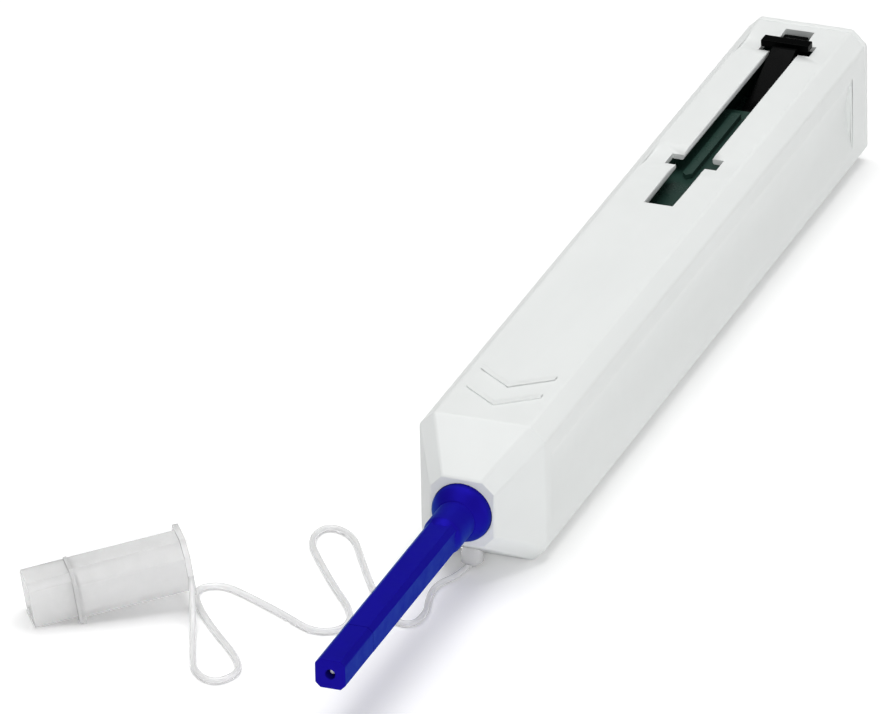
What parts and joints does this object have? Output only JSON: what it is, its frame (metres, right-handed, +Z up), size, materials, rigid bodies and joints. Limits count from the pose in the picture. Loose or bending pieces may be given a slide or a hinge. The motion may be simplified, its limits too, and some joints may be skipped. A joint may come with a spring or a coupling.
{
  "type": "fibre connector cleaning pen",
  "caption": "Pen-shaped fibre connector cleaner: chamfered box housing, square nozzle that pushes in, sliding latched carriage with thread reels, and a tethered guide cap.",
  "frame": {"origin": "middle of the housing's flat underside, on the surface the pen lies on", "axes": "+Y along the pen from nozzle to rear, +Z up through the latch slot, +X to the right seen from the nozzle end looking rearward"},
  "size_m": [0.0653, 0.1978, 0.0225],
  "materials": {
    "white_plastic": "satin",
    "black_plastic": "gloss",
    "latch_plastic": "gloss",
    "blue_plastic": "satin",
    "clear_plastic": "gloss",
    "clear_rubber": "gloss",
    "grey_plastic": "satin",
    "white_thread": "matte",
    "used_thread": "matte",
    "steel": "satin"
  },
  "bodies": {
    "housing": {"housing": "white_plastic", "rear_cap": "white_plastic", "guide_cap": "clear_plastic", "tether_anchor": "clear_rubber", "tether_strap": "clear_rubber"},
    "carriage": {"carriage_frame": "black_plastic", "guide_tube": "black_plastic", "cam_pin": "steel", "supply_axle": "steel", "take_up_axle": "steel", "latch_pin": "steel", "thread_guide_pins": "steel", "brake_leaf": "steel", "click_leaf": "steel", "cleaning_thread": "white_thread", "return_spring": "steel", "latch_spring": "steel"},
    "latch": {"latch_lever": "latch_plastic"},
    "nozzle": {"nozzle_collar": "blue_plastic", "nozzle_barrel": "blue_plastic", "nozzle_tip": "blue_plastic", "nozzle_shank": "black_plastic", "drive_rack": "black_plastic"},
    "core": {"core_tube": "steel", "cleaning_wick": "white_thread", "cam_barrel": "grey_plastic"},
    "take_up": {"take_up_reel": "grey_plastic", "used_thread_coil": "used_thread", "drive_pinion": "grey_plastic", "ratchet_wheel": "grey_plastic"},
    "supply": {"supply_reel": "grey_plastic", "fresh_thread_coil": "white_thread"}
  },
  "joints": [
    {"name": "extension_slide", "type": "slide", "parent": "housing", "child": "carriage", "axis": [0, -1, 0], "range_m": [0, 0.0408]},
    {"name": "latch_press", "type": "hinge", "parent": "carriage", "child": "latch", "pos_m": [0, 0.045, 0.0162], "axis": [-1, 0, 0], "range_deg": [0, 3.9], "stiffness_Nm_per_rad": 0.1, "deforming": ["latch_spring"]},
    {"name": "nozzle_push", "type": "slide", "parent": "carriage", "child": "nozzle", "axis": [0, 1, 0], "range_m": [0, 0.01], "stiffness_N_per_m": 100, "deforming": ["return_spring"]},
    {"name": "core_turn", "type": "hinge", "parent": "nozzle", "child": "core", "pos_m": [0, -0.069, 0.01065], "axis": [0, 1, 0], "range_deg": [0, 180]},
    {"name": "take_up_turn", "type": "hinge", "parent": "carriage", "child": "take_up", "pos_m": [0, 0.027, 0.01065], "axis": [1, 0, 0], "range_deg": [0, 177]},
    {"name": "supply_turn", "type": "hinge", "parent": "carriage", "child": "supply", "pos_m": [0, 0.007, 0.01065], "axis": [1, 0, 0], "range_deg": [0, 122]}
  ],
  "couplings": [
    {"joint": "core_turn", "follows": "nozzle_push", "rad_per_m": 314.16},
    {"joint": "take_up_turn", "follows": "nozzle_push", "rad_per_m": 307.69},
    {"joint": "supply_turn", "follows": "nozzle_push", "rad_per_m": 211.54}
  ]
}
